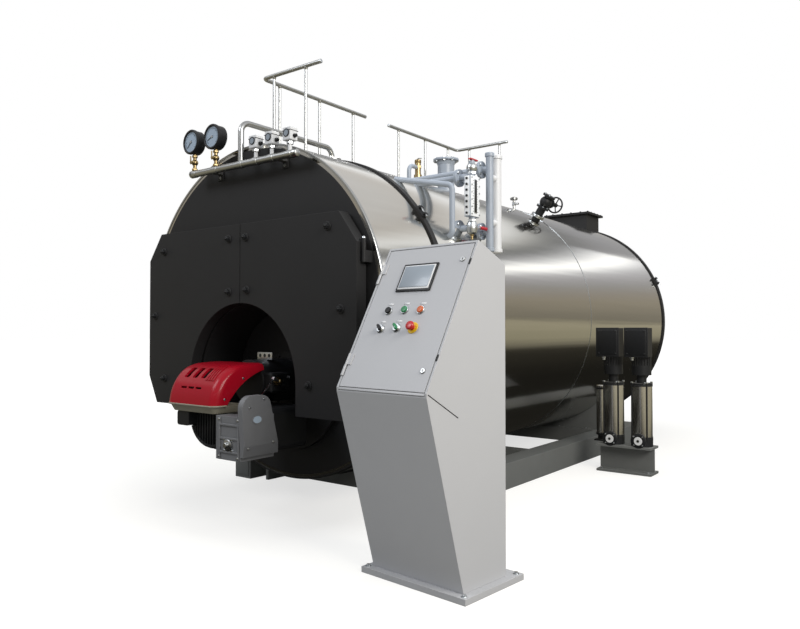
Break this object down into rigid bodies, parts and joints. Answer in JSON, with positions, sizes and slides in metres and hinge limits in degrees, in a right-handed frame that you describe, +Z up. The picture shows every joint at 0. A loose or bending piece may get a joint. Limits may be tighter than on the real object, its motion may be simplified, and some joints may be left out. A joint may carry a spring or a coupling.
{
  "type": "packaged steam boiler",
  "caption": "Horizontal fire-tube steam boiler on a steel frame, polished jacket, black hinged smokebox doors, forced-draught burner, feed pumps and a sloping control console.",
  "frame": {"origin": "on the floor under the shell axis, half way along the jacket", "axes": "+Z up, -Y towards the burner front, +X to the right as seen from the front"},
  "size_m": [3.2673, 6.3569, 3.165],
  "materials": {
    "polished_steel": "polished",
    "black_steel": "satin",
    "frame_grey": "satin",
    "burner_black": "satin",
    "burner_red": "gloss",
    "burner_grey": "satin",
    "pipe_steel": "brushed",
    "gauge_black": "satin",
    "valve_brass": "cast",
    "switch_white": "matt",
    "fitting_grey": "satin",
    "valve_black": "painted",
    "pump_black": "satin",
    "pump_steel": "polished",
    "console_grey": "satin"
  },
  "bodies": {
    "boiler": {"air_intake": "burner_grey", "burner_head": "burner_black", "burner_hood": "burner_red", "burner_motor": "burner_black", "burner_plate": "black_steel", "burner_scroll": "burner_black", "burner_tray": "burner_grey", "console_body": "console_grey", "console_plinth": "console_grey", "damper_cover": "burner_grey", "flue_box": "black_steel", "front_band": "black_steel", "front_cross_member": "frame_grey", "front_jacket": "polished_steel", "front_rail": "pipe_steel", "front_saddle": "frame_grey", "grey_column": "fitting_grey", "left_beam": "frame_grey", "left_gauge": "gauge_black", "left_gauge_cock": "valve_brass", "level_gauge": "fitting_grey", "main_jacket": "polished_steel", "manifold": "pipe_steel", "middle_cross_member": "frame_grey", "pressure_switch_1": "switch_white", "pressure_switch_2": "switch_white", "pressure_switch_3": "switch_white", "pump_1_barrel": "pump_steel", "pump_1_base": "pump_black", "pump_1_motor": "pump_black", "pump_2_barrel": "pump_steel", "pump_2_base": "pump_black", "pump_2_motor": "pump_black", "pump_stand": "frame_grey", "rear_band": "black_steel", "rear_chamber": "black_steel", "rear_cross_member": "frame_grey", "rear_plate": "black_steel", "rear_rail": "pipe_steel", "rear_saddle": "frame_grey", "right_beam": "frame_grey", "right_gauge": "gauge_black", "right_gauge_cock": "valve_brass", "safety_nozzle": "fitting_grey", "safety_outlet": "fitting_grey", "safety_valve": "valve_brass", "siphon_pipe": "pipe_steel", "smokebox_arch": "black_steel", "smokebox_frame": "black_steel", "standpipe": "fitting_grey", "steam_nozzle": "fitting_grey", "stop_valve": "valve_black", "tube_plate": "black_steel", "vent_valve": "pipe_steel", "white_column": "pipe_steel"},
    "left_door": {"left_door": "black_steel"},
    "right_door": {"right_door": "black_steel"},
    "console_panel": {"console_panel": "console_grey"},
    "stop_wheel": {"stop_wheel": "valve_black"}
  },
  "joints": [
    {"name": "left_door_hinge", "type": "hinge", "parent": "boiler", "child": "left_door", "pos_m": [-1.05813, -2.7025, 1.35], "axis": [0, 0, -1], "range_deg": [0, 95]},
    {"name": "right_door_hinge", "type": "hinge", "parent": "boiler", "child": "right_door", "pos_m": [1.05813, -2.7025, 1.35], "axis": [0, 0, 1], "range_deg": [0, 95]},
    {"name": "console_panel_hinge", "type": "hinge", "parent": "boiler", "child": "console_panel", "pos_m": [1.41848, -3.11462, 1.32684], "axis": [-0.0478, -0.4704, -0.8811], "range_deg": [0, 85]},
    {"name": "stop_wheel_turn", "type": "hinge", "parent": "boiler", "child": "stop_wheel", "pos_m": [0.77031, 0.53975, 2.47081], "axis": [0, 1, 0], "range_deg": [0, 1080]}
  ]
}
